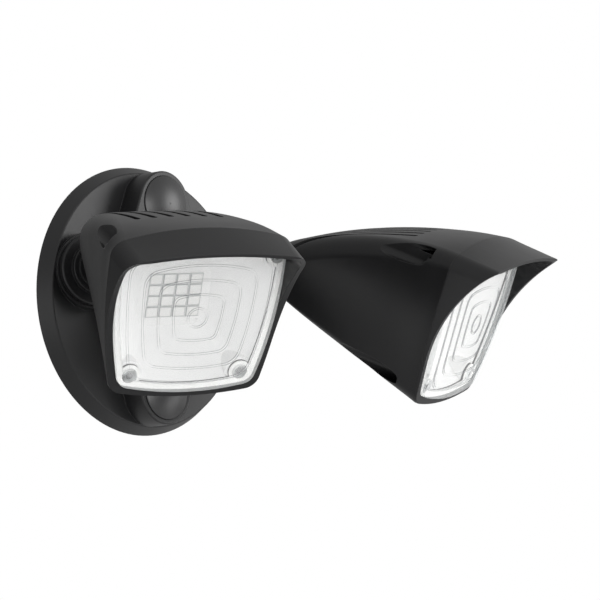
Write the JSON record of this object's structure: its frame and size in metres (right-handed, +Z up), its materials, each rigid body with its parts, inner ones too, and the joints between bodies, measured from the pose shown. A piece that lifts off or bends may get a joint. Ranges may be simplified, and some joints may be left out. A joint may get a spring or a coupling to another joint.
{
  "type": "security light",
  "caption": "Wall-mounted security floodlight: a round canopy with hooded, wedge-shaped lamp heads on arms that swivel and tilt.",
  "frame": {"origin": "centre of the canopy, on the plane of the wall, at the middle of the wall-box screw slots", "axes": "+Z up, the light faces -Y, +X to the right of someone who looks at the light"},
  "size_m": [0.2712, 0.1736, 0.127],
  "materials": {
    "coat": "die-cast, black satin powder coat",
    "arm_coat": "die-cast, black satin powder coat",
    "cap": "black satin moulding",
    "foam": "black closed-cell foam",
    "seal": "black silicone",
    "white_seal": "white silicone",
    "bar_steel": "zinc plated",
    "screw_steel": "zinc plated",
    "ground_green": "green plated",
    "driver_case": "grey moulding",
    "clear_lens": "clear moulding with raised rings",
    "reflector_white": "white satin",
    "board_white": "white solder mask",
    "chip": "phosphor",
    "sink": "bare extrusion",
    "washer_nylon": "natural nylon"
  },
  "bodies": {
    "canopy": {"canopy_cover": "coat", "wall_gasket": "foam", "mounting_crossbar": "bar_steel", "mounting_screws": "screw_steel", "ground_screw": "ground_green", "top_screw_cap": "cap", "bottom_screw_cap": "cap", "led_driver": "driver_case", "left_arm_seal": "seal", "right_arm_seal": "seal"},
    "left_arm": {"left_swivel_arm": "arm_coat", "left_arm_washer": "screw_steel", "left_arm_locknut": "screw_steel"},
    "left_head": {"left_housing": "coat", "left_visor": "coat", "left_lens": "clear_lens", "left_lens_gasket": "white_seal", "left_reflector": "reflector_white", "left_led_board": "board_white", "left_led_chips": "chip", "left_heat_sink": "sink", "left_housing_screws": "screw_steel", "left_tilt_bolt": "screw_steel", "left_tilt_nut": "screw_steel", "left_tilt_washers": "washer_nylon"},
    "right_arm": {"right_swivel_arm": "arm_coat", "right_arm_washer": "screw_steel", "right_arm_locknut": "screw_steel"},
    "right_head": {"right_housing": "coat", "right_visor": "coat", "right_lens": "clear_lens", "right_lens_gasket": "white_seal", "right_reflector": "reflector_white", "right_led_board": "board_white", "right_led_chips": "chip", "right_heat_sink": "sink", "right_housing_screws": "screw_steel", "right_tilt_bolt": "screw_steel", "right_tilt_nut": "screw_steel", "right_tilt_washers": "washer_nylon"}
  },
  "joints": [
    {"name": "left_arm_swivel", "type": "hinge", "parent": "canopy", "child": "left_arm", "pos_m": [-0.05616, -0.0518, 0.0097], "axis": [-0.3681, -0.9298, 0], "range_deg": [-94.4, 15.6]},
    {"name": "left_head_tilt", "type": "hinge", "parent": "left_arm", "child": "left_head", "pos_m": [-0.05616, -0.0518, 0.0097], "axis": [0.927, -0.367, 0.0767], "range_deg": [-32.4, 37.6]},
    {"name": "right_arm_swivel", "type": "hinge", "parent": "canopy", "child": "right_arm", "pos_m": [0.05616, -0.0518, 0.0097], "axis": [0.3681, -0.9298, 0], "range_deg": [-32, 78]},
    {"name": "right_head_tilt", "type": "hinge", "parent": "right_arm", "child": "right_head", "pos_m": [0.05616, -0.0518, 0.0097], "axis": [0.9095, 0.3601, 0.2079], "range_deg": [-24.6, 45.4]}
  ]
}
